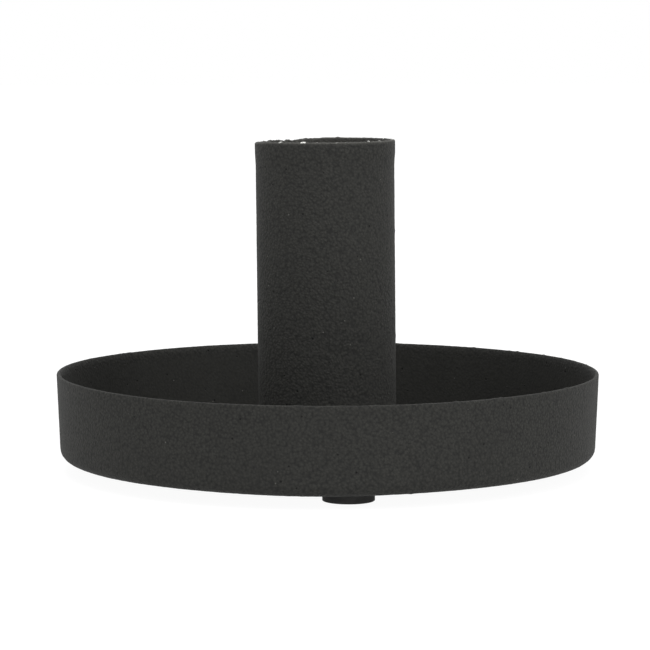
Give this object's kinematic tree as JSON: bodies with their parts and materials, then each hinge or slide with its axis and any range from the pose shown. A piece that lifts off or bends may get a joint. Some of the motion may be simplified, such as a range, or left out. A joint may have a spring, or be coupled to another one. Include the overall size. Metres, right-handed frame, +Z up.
{
  "type": "candle holder",
  "caption": "Free-standing candle holder: a shallow round dish with a tall central tube that takes one dinner candle, on small rubber pads.",
  "frame": {"origin": "centre of the plane that the rubber pads stand on", "axes": "+Z up along the tube's axis, towards the candle; -Y is the front and passes through foot pad 1; +X is to the right seen from the front"},
  "size_m": [0.095, 0.095, 0.058],
  "materials": {
    "powder_coated_steel": "black sand-texture powder coat, matt",
    "tack_weld": "bare weld metal",
    "pad_rubber": "black moulded rubber, matt",
    "pad_adhesive": "clear acrylic adhesive film, dark between the black parts"
  },
  "bodies": {
    "root": {"dish": "powder_coated_steel", "socket_tube": "powder_coated_steel", "tube_weld": "powder_coated_steel", "candle_seat": "powder_coated_steel", "seat_tack_welds": "tack_weld", "foot_pad_1": "pad_rubber", "foot_pad_2": "pad_rubber", "foot_pad_3": "pad_rubber", "foot_pad_4": "pad_rubber", "foot_adhesive_1": "pad_adhesive", "foot_adhesive_2": "pad_adhesive", "foot_adhesive_3": "pad_adhesive", "foot_adhesive_4": "pad_adhesive"}
  },
  "joints": []
}
